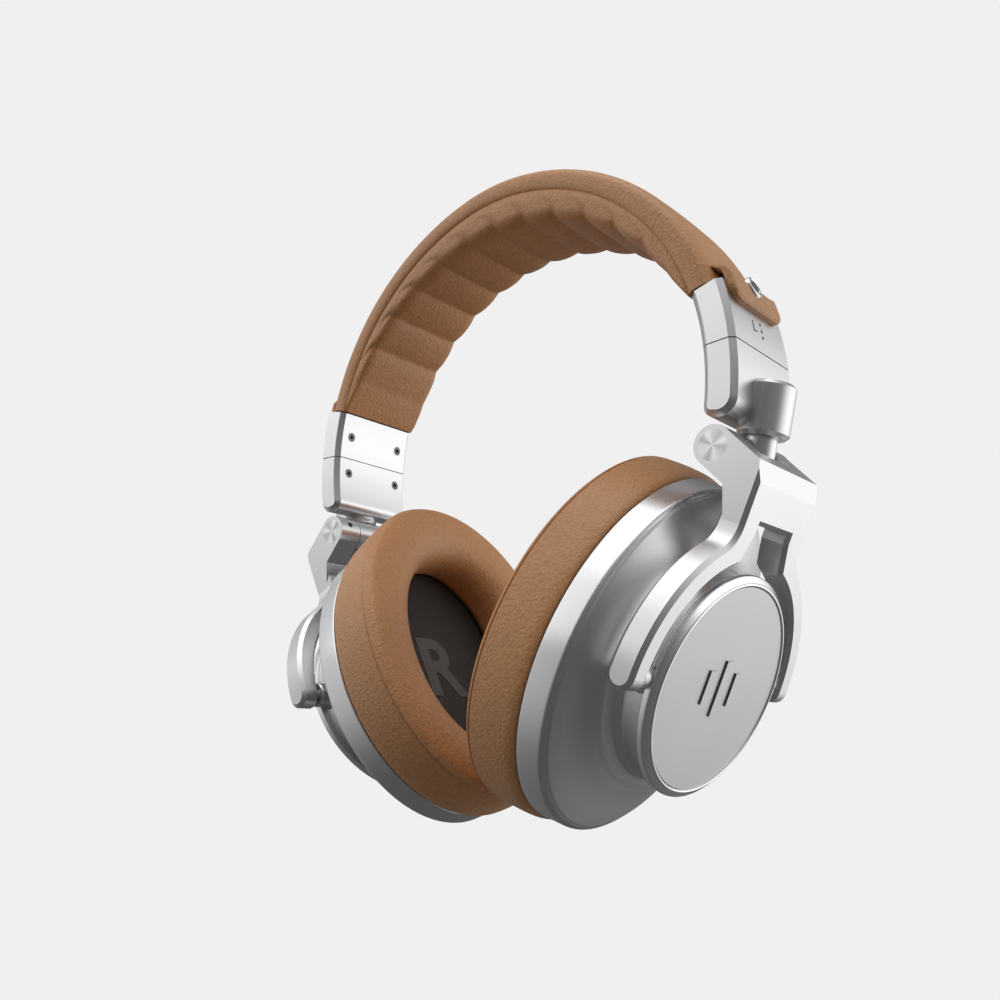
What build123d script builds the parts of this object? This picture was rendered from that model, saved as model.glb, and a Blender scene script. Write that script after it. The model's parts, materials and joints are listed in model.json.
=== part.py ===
from build123d import *
import os
from math import cos, degrees, radians, sin

# Over-ear headphones, millimetres. +X is the wearer's left, -Y is the front, +Z is up.
# The origin is where the crown pad rests on the head; X = 0 is the plane of symmetry.
# The left side is built and the right side is its mirror image, apart from the cable sockets.

# ---- headband, a crown arc running into two flatter side arcs ----
CROWN_RADIUS = 62.4       # outer edge of the band over the head
CROWN_TOP = 14.2          # height of that edge above the pad
JOIN_ANGLE = 10.3         # degrees off vertical where the crown arc meets the side arcs
SIDE_RADIUS = 77.8        # outer edge of the band beside the head
BAND_HALF_WIDTH = 16.5
COVER_CROWN = 3.6         # how far the padded leather stands above the edge line
COVER_SKIN = 1.2
COVER_EDGE_ROUND = 3.0
CORE_DEPTH = 2.5          # depth of the stiff liner below the edge line
PAD_GAP = 0.3
PAD_SIDE_INSET = 0.6
PAD_END_INSET = 6.6       # pad underside at the band ends, below the edge line
PAD_EDGE_ROUND = 2.4

# ---- end blocks, the split line and the sliding strip ----
SPLIT_ANGLE = 2.85        # degrees above horizontal, seen from the side arc's centre
UPPER_BLOCK_LENGTH = 16.4
LOWER_BLOCK_LENGTH = 19.4
SPLIT_GAP = 0.3
BLOCK_INNER = -3.6        # inner and outer faces, from the edge line of the band
BLOCK_OUTER = 5.8
BLOCK_BEVEL = 1.5
FOOT_ROUNDS = (3.0, 5.0)  # the lower block's inner and outer bottom corners
COVER_PLATE = 1.6         # inner cover of each block
COVER_PLATE_GAP = 0.1
STRIP_THICKNESS = 1.2
STRIP_INNER = 0.9
STRIP_WIDTH = 16.0
STRIP_CLEARANCE = 0.2
STRIP_FOOT = 5.5
STRIP_END_GAP = 1.0
STRIP_LENGTH = 28.0       # above the split line
SPRING_THICKNESS = 0.8
SPRING_WIDTH = 12.0
SPRING_INNER = -1.7
SPRING_FOOT = 9.0
SCREW_HEAD_RADIUS = 1.6
SCREW_SHANK_RADIUS = 0.9
SCREW_HEAD_HEIGHT = 0.9
SCREW_LENGTH = 3.4
SCREW_HALF_SPACING = 11.0
SCREW_HEX = 0.75
SCREW_HEX_DEPTH = 0.63
RIVET_RADIUS = 3.0
RIVET_HEAD = 1.1
RIVET_LAND = 0.2          # leather left between the rivet and the flap's edge
RIVET_GRIP = 2.0
FLAP_THICKNESS = 1.2
FLAP_LENGTH = 5.0
FLAP_HALF_WIDTH = 13.0

# ---- swivel post, knuckle and fold pin ----
PIN_OUTSET = 1.4          # fold pin, outside the edge line of the band
PIN_DROP = 7.5            # fold pin, below the lower block
POST_LEAN = 14.6          # degrees the swivel axis leans in towards the ear
POST_OFFSET = 4.3         # swivel axis outboard of the fold pin
POST_RADIUS = 6.8
POST_FLOOR = 5.75         # post mouth above the fold pin, along the swivel axis
POST_HEIGHT = 14.4
POST_CHAMFER = 1.0
STEM_RADIUS = 4.0
STEM_CLEARANCE = 0.06
STEM_TOP = 15.4           # above the fold pin
CLIP_THICKNESS = 1.0
CLIP_RADIUS = 5.1
CLIP_GROOVE = 0.8
CLIP_CLEARANCE = 0.3
BARREL_RADIUS = 5.2
BARREL_HALF = 7.8
PIN_RADIUS = 2.5
PIN_CLEARANCE = 0.05
PIN_HEAD_RADIUS = 4.1
PIN_HEAD_HEIGHT = 0.8

# ---- fork, in the cup's own frame: x outward, z up the cup, origin at the cap ----
CUP_TILT = 26.0           # degrees the outside of the cup faces down
FORK_OUTER = -1.0
FORK_THICKNESS = 7.5
FORK_BEVEL = 1.1
PIN_DEPTH = 16.5          # fold pin behind the cap's face
YOKE_RISE = 17.7          # fold pin above the top of the arms
CHEEK_GAP = 0.4
BOSS_RADIUS = 5.4
KNUCKLE_SWEEP = 8.9
ARM_GAP = 3.4             # between the cap and the arms
ARM_THICKNESS = 6.3
ARM_TIP_RADIUS = 3.75
SHOULDER_ROUND = 8.0
HEAD_TOP_SHIFT = 1.46      # outward from the fold pin to the head's top edge
HEAD_TOP_DROP = 0.3
HEAD_SLOPE = 1.8
KNEE_DROP = 3.1
KNEE_BEVEL = (1.6, 4.0)
HEAD_OVERLAP = 6.7         # how far the head runs down over the arms
WINDOW_WALL = 8.3
WINDOW_FLARE_WALL = 5.0
WINDOW_SINK = 3.0
WINDOW_TOP = 2.5          # window above the arms' outer radius
TILT_PIN_RADIUS = 1.75
TILT_PIN_CLEARANCE = 0.05
TILT_PIN_DEPTH = 5.6      # axis behind the cap's face
TILT_PIN_END = 1.0         # how far the pin shows inside the cup
TILT_PIN_SINK = 1.2       # pin end below the outside of the arm
TILT_BOSS_RADIUS = 3.6
TILT_BOSS_GAP = 0.35
SET_SCREW_RADIUS = 1.0
SET_SCREW_LENGTH = 2.2
SET_SCREW_LEAN = 65.0

# ---- ear cup, in the same frame ----
CAP_RADIUS = 30.0
CAP_RING_WIDTH = 2.7
CAP_HEIGHT = 3.2
CAP_CHAMFER = 1.6
CAP_DISC_THICKNESS = 1.6
CAP_DISC_RECESS = 0.4
CAP_SEAT_GAP = 0.1
EMBLEM_HEIGHT = 0.35
EMBLEM_BAR = 3.2
EMBLEM_LENGTHS = (9.0, 15.0, 9.0)
NECK_STEP = 1.5           # neck inside the cap's edge
NECK_END = 10.0
JUNCTION_FLARE = 2.5      # foot of the neck outside the cap's edge
JUNCTION_DEPTH = 12.0
BOWL_FLARE = (5.2, 9.8)   # the bowl's half-axes beyond the cap's radius, partway and at the ridge
BOWL_MID_DEPTH = 15.6
RIDGE_FLARE = (10.3, 19.1)
RIDGE_DEPTH = 19.4
RIM_STEP = (0.3, 1.4)     # rim beyond the ridge
RIM_DEPTH = 27.3
OVAL_LEAN = 19.2          # degrees the oval's top leans back
SHELL_WALL = 1.8
RIM_WALL = 2.2
BAFFLE_THICKNESS = 2.0
BAFFLE_FIT = 0.2
BAFFLE_SCREW_STEP = 4.5
BAFFLE_SCREW_ANGLES = (35, 145, 215, 325)
DRIVER_RADIUS = 25.0
DRIVER_FIT = 0.15
DRIVER_FRAME_DEPTH = 4.0
DRIVER_FRAME_WALL = 3.0
DIAPHRAGM_THICKNESS = 0.4
MAGNET_RADIUS = 13.5
MAGNET_DEPTH = 5.5
CLOTH_THICKNESS = 0.5
CLOTH_FIT = 0.1
PAD_RING_THICKNESS = 2.0
PAD_RING_LAND = 3.0
PAD_RING_INSET = 0.5
CUSHION_STEP = (0.5, 2.0) # cushion beyond the rim
CUSHION_HOLE = (23.1, 33.6)
CUSHION_THICKNESS = 15.8
CUSHION_ROUND = 5.0
SOCKET_DIRECTION = -32.0  # degrees in the cup's plane, from straight back
SOCKET_DEPTH = 14.4       # socket axis behind the cap's face
SOCKET_STEP = 0.7         # socket mouth beyond the ridge's narrow half-axis
SOCKET_BOSS_WALL = 1.6
SOCKETS = {
    "left": {"bore": 1.8, "wall": 1.5, "length": 15.0},
    "right": {"bore": 3.25, "wall": 1.4, "length": 28.0},
}

# ---- worked out from the sizes above ----
def wider(half_axes, step):
    return (half_axes[0] + step[0], half_axes[1] + step[1])


CAP = (CAP_RADIUS, CAP_RADIUS)
BOWL_MID = wider(CAP, BOWL_FLARE)
RIDGE = wider(CAP, RIDGE_FLARE)
RIM = wider(RIDGE, RIM_STEP)
CUSHION = wider(RIM, CUSHION_STEP)
NECK_RADIUS = CAP_RADIUS - NECK_STEP
JUNCTION_RADIUS = CAP_RADIUS + JUNCTION_FLARE
SOCKET_REACH = RIDGE[0] + SOCKET_STEP
ARM_INNER_RADIUS = CAP_RADIUS + ARM_GAP
FORK_HALF_WIDTH = BAND_HALF_WIDTH
crown_z = CROWN_TOP - CROWN_RADIUS
side_shift = SIDE_RADIUS - CROWN_RADIUS
side_x = -side_shift * sin(radians(JOIN_ANGLE))
side_z = crown_z - side_shift * cos(radians(JOIN_ANGLE))


def arc_angle(length):
    """Degrees that a length takes along the band's side arc."""
    return degrees(length / SIDE_RADIUS)


def polar(offset, angle):
    """A point (x, z) at an offset from the band's edge line, at an angle above horizontal."""
    radius = SIDE_RADIUS + offset
    return (side_x + radius * cos(radians(angle)), side_z + radius * sin(radians(angle)))


block_top = SPLIT_ANGLE + arc_angle(UPPER_BLOCK_LENGTH)
block_bottom = SPLIT_ANGLE - arc_angle(LOWER_BLOCK_LENGTH)
band_end = block_top + arc_angle(SPLIT_GAP)
pin_x, pin_z = polar(PIN_OUTSET, block_bottom - arc_angle(PIN_DROP))
arm_outer_radius = ARM_INNER_RADIUS + ARM_THICKNESS
pin_rise = arm_outer_radius + YOKE_RISE
cup_x = pin_x + PIN_DEPTH * cos(radians(CUP_TILT)) - pin_rise * sin(radians(CUP_TILT))
cup_z = pin_z - PIN_DEPTH * sin(radians(CUP_TILT)) - pin_rise * cos(radians(CUP_TILT))
CUP_PLACE = Location((cup_x, 0, cup_z), (0, CUP_TILT, 0))
POST_PLACE = Location((pin_x, 0, pin_z), (0, POST_LEAN, 0)) * Location((POST_OFFSET, 0, 0))

CUT = 1.0                 # how far a cutting shape runs past the face it cuts, mm or degrees
CUT_FAR = 12.0


# ---- shapes shared by the sub-parts ----
def slab(edges, half_width):
    """A closed outline in the XZ plane, given both ways along Y."""
    return extrude(Plane.XZ * make_face(edges), half_width, both=True)


def side_slab(inner, outer, low, high, half_width):
    """A piece of the left side arc between two offsets and two angles."""
    middle = (low + high) / 2
    return slab(
        [
            ThreePointArc(polar(outer, low), polar(outer, middle), polar(outer, high)),
            Line(polar(outer, high), polar(inner, high)),
            ThreePointArc(polar(inner, high), polar(inner, middle), polar(inner, low)),
            Line(polar(inner, low), polar(outer, low)),
        ],
        half_width,
    )


def mirrored(point):
    return (-point[0], point[1])


def band_edges(offset, end):
    """The band's line at an offset, from the left end over the crown to the right end."""
    join = (
        (CROWN_RADIUS + offset) * sin(radians(JOIN_ANGLE)),
        crown_z + (CROWN_RADIUS + offset) * cos(radians(JOIN_ANGLE)),
    )
    start = polar(offset, end)
    middle = polar(offset, (end + 90 - JOIN_ANGLE) / 2)
    top = (0, CROWN_TOP + offset)
    return [
        ThreePointArc(start, middle, join),
        ThreePointArc(join, top, mirrored(join)),
        ThreePointArc(mirrored(join), mirrored(middle), mirrored(start)),
    ]


def band_slab(inner, outer, end, half_width):
    """A layer of the headband between two offsets, from end to end."""
    closing = [
        Line(polar(inner, end), polar(outer, end)),
        Line(mirrored(polar(inner, end)), mirrored(polar(outer, end))),
    ]
    return slab(band_edges(outer, end) + closing + band_edges(inner, end), half_width)


def oval(half_axes, x, grow=0.0):
    """The cup's leaning oval as a face across the cup's axis, with its wall offset added."""
    wide, tall = half_axes[0] + grow, half_axes[1] + grow
    plane = Plane(origin=(x, 0, 0), x_dir=(0, 1, 0), z_dir=(1, 0, 0))
    return plane * Rot(0, 0, -OVAL_LEAN) * Ellipse(wide, tall)


def oval_slab(half_axes, low, high, grow=0.0):
    return extrude(oval(half_axes, low, grow), high - low)


def disc(radius, low, high, y=0.0, z=0.0):
    """A cylinder along the cup's axis between two depths."""
    plane = Plane(origin=(low, y, z), x_dir=(0, 1, 0), z_dir=(1, 0, 0))
    return extrude(plane * Circle(radius), high - low)


def rod_y(radius, low, high, x=0.0, z=0.0):
    """A cylinder along Y between two places."""
    plane = Plane(origin=(x, low, z), x_dir=(1, 0, 0), z_dir=(0, 1, 0))
    return extrude(plane * Circle(radius), high - low)


def rod_z(radius, low, high):
    return Pos(0, 0, low) * extrude(Circle(radius), high - low)


# ---- headband ----
def strip_slot(low, high):
    """The clearance that the sliding strip runs in."""
    inner = STRIP_INNER - STRIP_CLEARANCE
    outer = STRIP_INNER + STRIP_THICKNESS + STRIP_CLEARANCE
    return side_slab(inner, outer, low, high, STRIP_WIDTH / 2 + STRIP_CLEARANCE)


def spring_band():
    """The steel spring that joins the end blocks through the band."""
    foot = block_top - arc_angle(SPRING_FOOT)
    outer = SPRING_INNER + SPRING_THICKNESS
    return band_slab(SPRING_INNER, outer, foot, SPRING_WIDTH / 2)


def headband_core():
    """The stiff liner between leather and padding, slotted for the spring and the strips."""
    core = band_slab(-CORE_DEPTH, COVER_CROWN - COVER_SKIN, band_end, BAND_HALF_WIDTH - COVER_SKIN)
    core -= spring_band()
    slot = strip_slot(block_top - CUT, SPLIT_ANGLE + arc_angle(STRIP_LENGTH + STRIP_END_GAP))
    return core - slot - mirror(slot, about=Plane.YZ)


def headband_cover():
    """The leather over the top and front edges, with a flap over each end block."""
    cover = band_slab(-CORE_DEPTH, COVER_CROWN, band_end, BAND_HALF_WIDTH)
    crest = [e for e in cover.edges() if on_outer_edge(e)]
    cover = fillet(crest, COVER_EDGE_ROUND)
    cover -= band_slab(
        -CORE_DEPTH - CUT, COVER_CROWN - COVER_SKIN, band_end - CUT, BAND_HALF_WIDTH - COVER_SKIN
    )
    flap_end = block_top - arc_angle(FLAP_LENGTH)
    low = BLOCK_OUTER
    flap = side_slab(low, low + FLAP_THICKNESS, flap_end, band_end, FLAP_HALF_WIDTH)
    root_top = band_end + arc_angle(2 * FLAP_THICKNESS)
    inside = COVER_CROWN - COVER_SKIN
    root = side_slab(inside, low + FLAP_THICKNESS, band_end, root_top, FLAP_HALF_WIDTH)
    for piece in (flap, root):
        cover += piece + mirror(piece, about=Plane.YZ)
    return cover


def on_outer_edge(edge):
    """Is this one of the long edges on the outside of the band?"""
    point = edge @ 0.5
    if abs(abs(point.Y) - BAND_HALF_WIDTH) > 0.01:
        return False
    from_crown = (point.X**2 + (point.Z - crown_z) ** 2) ** 0.5 - CROWN_RADIUS
    from_side = ((abs(point.X) - side_x) ** 2 + (point.Z - side_z) ** 2) ** 0.5 - SIDE_RADIUS
    return min(abs(from_crown - COVER_CROWN), abs(from_side - COVER_CROWN)) < 0.01


def headband_padding():
    """The foam and leather pad against the head; its underside is one arc."""
    top = band_edges(-CORE_DEPTH - PAD_GAP, band_end)
    end = polar(-CORE_DEPTH - PAD_GAP, band_end)
    under = polar(-PAD_END_INSET, band_end)
    edges = [
        Line(end, under),
        ThreePointArc(under, (0, 0), mirrored(under)),
        Line(mirrored(under), mirrored(end)),
    ]
    pad = slab(top + edges, BAND_HALF_WIDTH - PAD_SIDE_INSET)
    under_edges = [e for e in pad.edges().filter_by(GeomType.CIRCLE) if abs((e @ 0.5).Z) < 0.01]
    return fillet(under_edges, PAD_EDGE_ROUND)


def bevelled_block(low, high, foot_rounds=()):
    """A block's casing, bevelled front and back; its foot's corners may be rounded."""
    block = side_slab(BLOCK_INNER, BLOCK_OUTER, low, high, BAND_HALF_WIDTH)
    face = block.faces().sort_by(Axis.Y)[0]
    corners = [corner.center() for corner in face.vertices().sort_by(Axis.Z)[:2].sort_by(Axis.X)]
    for corner, radius in zip(corners, foot_rounds):
        block = fillet([e for e in block.edges().filter_by(Axis.Y) if crosses(e, corner)], radius)
    outline = [e for e in block.edges() if is_outline(e, high if foot_rounds else low, high)]
    return chamfer(outline, BLOCK_BEVEL)


def crosses(edge, point):
    """Does this edge along Y pass through a point of the side view?"""
    return abs((edge @ 0.5).X - point.X) + abs((edge @ 0.5).Z - point.Z) < 0.01


def is_outline(edge, *flat_ends):
    """Does this edge lie on the front or back face, away from the block's flat ends?"""
    point = edge @ 0.5
    middle = (BLOCK_INNER + BLOCK_OUTER) / 2
    ends = [polar(middle, angle) for angle in flat_ends]
    at_end = any(abs(point.X - x) + abs(point.Z - z) < 0.05 for x, z in ends)
    return edge.geom_type != GeomType.LINE or (
        not at_end and abs((edge @ 0).Y - (edge @ 1).Y) < 0.01
    )


def block_shell(low, high, foot_rounds=()):
    """A block without the inner cover plate."""
    block = bevelled_block(low, high, foot_rounds)
    return block - side_slab(
        BLOCK_INNER - CUT, BLOCK_INNER + COVER_PLATE + COVER_PLATE_GAP, low - CUT, high + CUT,
        BAND_HALF_WIDTH + CUT,
    )


def block_cover(low, high, screw_angles, foot_rounds=()):
    """The inner cover plate of a block, countersunk for its screws."""
    block = bevelled_block(low, high, foot_rounds)
    plate = block - side_slab(
        BLOCK_INNER + COVER_PLATE, BLOCK_OUTER + CUT, low - CUT, high + CUT, BAND_HALF_WIDTH + CUT
    )
    return plate - screw_holes(screw_angles)


def screw_place(angle, y):
    """A frame on a block's inner face, with +Z pointing out of the face, towards the head."""
    x, z = polar(BLOCK_INNER, angle)
    outward = (-cos(radians(angle)), 0, -sin(radians(angle)))
    return Plane(origin=(x, y, z), x_dir=(0, 1, 0), z_dir=outward).location


def screw():
    """A flush socket screw, head at z = 0, pointing down."""
    head = rod_z(SCREW_HEAD_RADIUS, -SCREW_HEAD_HEIGHT, 0)
    shank = rod_z(SCREW_SHANK_RADIUS, -SCREW_LENGTH, -SCREW_HEAD_HEIGHT)
    recess = Pos(0, 0, -SCREW_HEX_DEPTH) * extrude(RegularPolygon(SCREW_HEX, 6), SCREW_HEX_DEPTH)
    return head + shank - recess


def screw_places(angles):
    return [screw_place(a, y) for a in angles for y in (-SCREW_HALF_SPACING, SCREW_HALF_SPACING)]


def screw_holes(angles):
    hole = rod_z(SCREW_HEAD_RADIUS, -SCREW_HEAD_HEIGHT, CUT)
    hole += rod_z(SCREW_SHANK_RADIUS, -SCREW_LENGTH, CUT)
    return [place * hole for place in screw_places(angles)]


def screws(angles):
    return [place * screw() for place in screw_places(angles)]


upper_screw_angles = [(SPLIT_ANGLE + block_top) / 2]
lower_screw_angles = [SPLIT_ANGLE - arc_angle(STRIP_FOOT)]


def end_block():
    """The fixed upper block, with the slot that the strip slides in."""
    low, high = SPLIT_ANGLE + arc_angle(SPLIT_GAP / 2), block_top
    shell = block_shell(low, high)
    shell -= strip_slot(low - CUT, high + CUT)
    shell -= spring_band()
    shell -= rivet_shape()
    return shell - screw_holes(upper_screw_angles)


def end_cover():
    low, high = SPLIT_ANGLE + arc_angle(SPLIT_GAP / 2), block_top
    return block_cover(low, high, upper_screw_angles) - spring_band()


def rivet_shape():
    """The rivet that fixes the leather flap to the outside of the block."""
    angle = block_top - arc_angle(FLAP_LENGTH / 2)
    x, z = polar(BLOCK_OUTER + FLAP_THICKNESS, angle)
    outward = (cos(radians(angle)), 0, sin(radians(angle)))
    place = Plane(origin=(x, 0, z), x_dir=(0, 1, 0), z_dir=outward)
    head = rod_z(min(RIVET_RADIUS, FLAP_LENGTH / 2 - RIVET_LAND), 0, RIVET_HEAD)
    shank = rod_z(SCREW_SHANK_RADIUS, -FLAP_THICKNESS - RIVET_GRIP, 0)
    return place.location * (head + shank)


# ---- slider ----
def slider_strip():
    """The curved steel strip that carries the lower block."""
    low = SPLIT_ANGLE - arc_angle(STRIP_FOOT)
    high = SPLIT_ANGLE + arc_angle(STRIP_LENGTH)
    return side_slab(STRIP_INNER, STRIP_INNER + STRIP_THICKNESS, low, high, STRIP_WIDTH / 2)


def post_bore():
    """The bore of the swivel post, with the pocket for its retaining clip."""
    bore = rod_z(STEM_RADIUS + STEM_CLEARANCE, POST_FLOOR - CUT, STEM_TOP + CLIP_CLEARANCE)
    pocket_low = STEM_TOP - 2 * CLIP_THICKNESS - CLIP_CLEARANCE
    pocket = rod_z(CLIP_RADIUS + CLIP_CLEARANCE, pocket_low, STEM_TOP + CLIP_CLEARANCE)
    return POST_PLACE * (bore + pocket)


def slider_block():
    """The lower block with the swivel post on its outer face."""
    low, high = block_bottom, SPLIT_ANGLE - arc_angle(SPLIT_GAP / 2)
    post = rod_z(POST_RADIUS, POST_FLOOR, POST_FLOOR + POST_HEIGHT)
    post = chamfer(post.edges().filter_by(GeomType.CIRCLE), POST_CHAMFER)
    shell = block_shell(low, high, FOOT_ROUNDS) + POST_PLACE * post
    shell -= side_slab(
        BLOCK_INNER - CUT_FAR, BLOCK_INNER + COVER_PLATE + COVER_PLATE_GAP, low - CUT_FAR,
        high + CUT_FAR, POST_RADIUS + CUT,
    )
    shell -= post_bore()
    foot_low = SPLIT_ANGLE - arc_angle(STRIP_FOOT)
    shell -= side_slab(
        STRIP_INNER, STRIP_INNER + STRIP_THICKNESS, foot_low, high + CUT, STRIP_WIDTH / 2
    )
    return shell - screw_holes(lower_screw_angles)


def slider_cover():
    low, high = block_bottom, SPLIT_ANGLE - arc_angle(SPLIT_GAP / 2)
    return block_cover(low, high, lower_screw_angles, FOOT_ROUNDS)


# ---- swivel ----
def swivel_knuckle():
    """The stem that turns in the post, with the barrel that the fork folds round."""
    groove_high = STEM_TOP - CLIP_THICKNESS
    stem = rod_z(STEM_RADIUS, 0, STEM_TOP)
    groove = rod_z(STEM_RADIUS + CUT, groove_high - CLIP_THICKNESS, groove_high)
    groove -= rod_z(STEM_RADIUS - CLIP_GROOVE, groove_high - CLIP_THICKNESS, groove_high)
    stem = POST_PLACE * (stem - groove)
    barrel = rod_y(BARREL_RADIUS, -BARREL_HALF, BARREL_HALF, pin_x, pin_z)
    bore = rod_y(PIN_RADIUS + PIN_CLEARANCE, -BARREL_HALF - CUT, BARREL_HALF + CUT, pin_x, pin_z)
    return stem + barrel - bore


def swivel_clip():
    high = STEM_TOP - CLIP_THICKNESS
    ring = rod_z(CLIP_RADIUS, high - CLIP_THICKNESS, high)
    ring -= rod_z(STEM_RADIUS - CLIP_GROOVE, high - CLIP_THICKNESS, high)
    opening = Pos(CLIP_RADIUS, 0, 0) * Box(2 * CLIP_RADIUS, STEM_RADIUS, 4 * STEM_TOP)
    return POST_PLACE * (ring - opening)


# ---- fork ----
def fork_profile():
    """The side view of the fork's cheeks, plate and arms in the cup's frame."""
    inner = FORK_OUTER - FORK_THICKNESS
    shoulder = pin_rise + BOSS_RADIUS - HEAD_TOP_DROP
    knee = pin_rise - BOSS_RADIUS - KNEE_DROP
    boss_side = -PIN_DEPTH - BOSS_RADIUS * sin(radians(CUP_TILT))
    boss_under = pin_rise - BOSS_RADIUS * cos(radians(CUP_TILT))
    return [
        (-PIN_DEPTH + HEAD_TOP_SHIFT, shoulder),
        (FORK_OUTER - HEAD_SLOPE, pin_rise),
        (FORK_OUTER, pin_rise - BOSS_RADIUS),
        (FORK_OUTER, 0),
        (inner, 0),
        (inner, knee - KNEE_BEVEL[1]),
        (inner - KNEE_BEVEL[0], knee),
        (boss_side, boss_under),
        (-PIN_DEPTH, pin_rise),
    ]


def fork_front():
    """The front view of the fork: head, shoulders and the two arms round the cap."""
    arms = Circle(arm_outer_radius) & Pos(0, arm_outer_radius) * Rectangle(
        3 * arm_outer_radius, 2 * arm_outer_radius
    )
    tips = Pos(0, -ARM_TIP_RADIUS) * Rectangle(2 * arm_outer_radius, 2 * ARM_TIP_RADIUS)
    head_height = pin_rise - ARM_INNER_RADIUS + HEAD_OVERLAP
    head = Pos(0, pin_rise) * Rectangle(2 * FORK_HALF_WIDTH, 2 * head_height)
    front = arms + tips + head
    corners = [
        v for v in front.vertices()
        if abs(abs(v.X) - FORK_HALF_WIDTH) < 0.01 and v.Y < arm_outer_radius
    ]
    front = fillet(corners, SHOULDER_ROUND)
    half, flare = FORK_HALF_WIDTH - WINDOW_WALL, FORK_HALF_WIDTH - WINDOW_FLARE_WALL
    sill, top = ARM_INNER_RADIUS - WINDOW_SINK, arm_outer_radius + WINDOW_TOP
    window = Polygon(
        (-flare, 0), (flare, 0), (flare, sill), (half, arm_outer_radius), (half, top),
        (-half, top), (-half, arm_outer_radius), (-flare, sill), align=None,
    )
    inside = Circle(ARM_INNER_RADIUS) + Pos(0, -ARM_TIP_RADIUS) * Rectangle(
        2 * ARM_INNER_RADIUS, 2 * ARM_TIP_RADIUS
    )
    return front - (window + inside)


def fork():
    """The yoke that holds the cup: two cheeks on the fold pin and two arms."""
    middle = FORK_OUTER - FORK_THICKNESS / 2
    side = Polygon(*fork_profile(), align=None) + Pos(-PIN_DEPTH, pin_rise) * Circle(BOSS_RADIUS)
    side += Pos(middle, 0) * Circle(ARM_TIP_RADIUS)
    body = extrude(Plane.XZ * side, 2 * arm_outer_radius, both=True)
    plane = Plane(origin=(-60, 0, 0), x_dir=(0, 1, 0), z_dir=(1, 0, 0))
    body &= extrude(plane * fork_front(), 80)
    rims = [e for e in body.edges() if on_outer_face(e)]
    body = chamfer(rims, FORK_BEVEL)
    body -= knuckle_slot()
    body -= fold_pin_shape()
    body -= tilt_pin_shapes()
    return CUP_PLACE * (body - set_screw_shapes(PIN_RADIUS / 2, BOSS_RADIUS))


def on_outer_face(edge):
    """Does this edge bound the fork's flat outer face?"""
    return all(abs((edge @ t).X - FORK_OUTER) < 0.01 for t in (0.1, 0.5, 0.9)) and (
        abs((edge @ 0.1).Y - (edge @ 0.9).Y) < abs((edge @ 0.1).Z - (edge @ 0.9).Z) * 50
        or (edge @ 0.5).Z < pin_rise - 2 * BOSS_RADIUS
    )


def knuckle_slot():
    """The gap between the cheeks, open towards the head so that the fork can fold."""
    far = 3 * BOSS_RADIUS
    slot = Circle(KNUCKLE_SWEEP) + Polygon(
        (-far, -KNUCKLE_SWEEP), (0, -KNUCKLE_SWEEP), (KNUCKLE_SWEEP, 0), (KNUCKLE_SWEEP, far),
        (-far, far), align=None,
    )
    slot = Plane.XZ * Pos(-PIN_DEPTH, pin_rise) * slot
    return extrude(slot, BARREL_HALF + CHEEK_GAP, both=True)


def fold_pin_shape():
    """The fold pin with a turned head flush in each cheek."""
    reach = FORK_HALF_WIDTH
    inside = reach - PIN_HEAD_HEIGHT / 2
    pin = rod_y(PIN_RADIUS, -inside, inside, -PIN_DEPTH, pin_rise)
    for low, high in ((-reach, -reach + PIN_HEAD_HEIGHT), (reach - PIN_HEAD_HEIGHT, reach)):
        pin += rod_y(PIN_HEAD_RADIUS, low, high, -PIN_DEPTH, pin_rise)
    return pin


def set_screw_shapes(inward=0.0, outward=0.0):
    """One grub screw through each cheek, locking the pin."""
    middle = (BARREL_HALF + CHEEK_GAP + FORK_HALF_WIDTH) / 2
    place = Location((-PIN_DEPTH, 0, pin_rise), (0, -CUP_TILT - SET_SCREW_LEAN, 0))
    low, high = PIN_RADIUS - inward, PIN_RADIUS + SET_SCREW_LENGTH + outward
    return [place * Pos(0, y, 0) * rod_z(SET_SCREW_RADIUS, low, high) for y in (-middle, middle)]


def tilt_pin_shapes():
    """The two pins through the arm tips into the cup."""
    far = arm_outer_radius - TILT_PIN_SINK
    near = NECK_RADIUS - SHELL_WALL - TILT_PIN_END
    return [
        rod_y(TILT_PIN_RADIUS, near, far, -TILT_PIN_DEPTH, 0),
        rod_y(TILT_PIN_RADIUS, -far, -near, -TILT_PIN_DEPTH, 0),
    ]


# ---- ear cup ----
def bowl(grow, back):
    """The outside of the cup from the neck to the ridge, or the same shape moved inward."""
    junction = JUNCTION_RADIUS + grow
    middle = (BOWL_MID[0] + grow, BOWL_MID[1] + grow)
    ridge = (RIDGE[0] + grow, RIDGE[1] + grow)
    body = disc(NECK_RADIUS + grow, -NECK_END, back)
    body += loft([oval((NECK_RADIUS + grow, NECK_RADIUS + grow), -NECK_END),
                  oval((junction, junction), -JUNCTION_DEPTH)], ruled=True)
    body += loft([oval((junction, junction), -JUNCTION_DEPTH), oval(middle, -BOWL_MID_DEPTH)],
                 ruled=True)
    body += loft([oval(middle, -BOWL_MID_DEPTH), oval(ridge, -RIDGE_DEPTH)], ruled=True)
    return body


def socket_place():
    """A frame with +Z along the cable socket, pointing out of its mouth."""
    y, z = cos(radians(SOCKET_DIRECTION)), sin(radians(SOCKET_DIRECTION))
    origin = (-SOCKET_DEPTH, SOCKET_REACH * y, SOCKET_REACH * z)
    return Plane(origin=origin, x_dir=(1, 0, 0), z_dir=(0, y, z)).location


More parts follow.
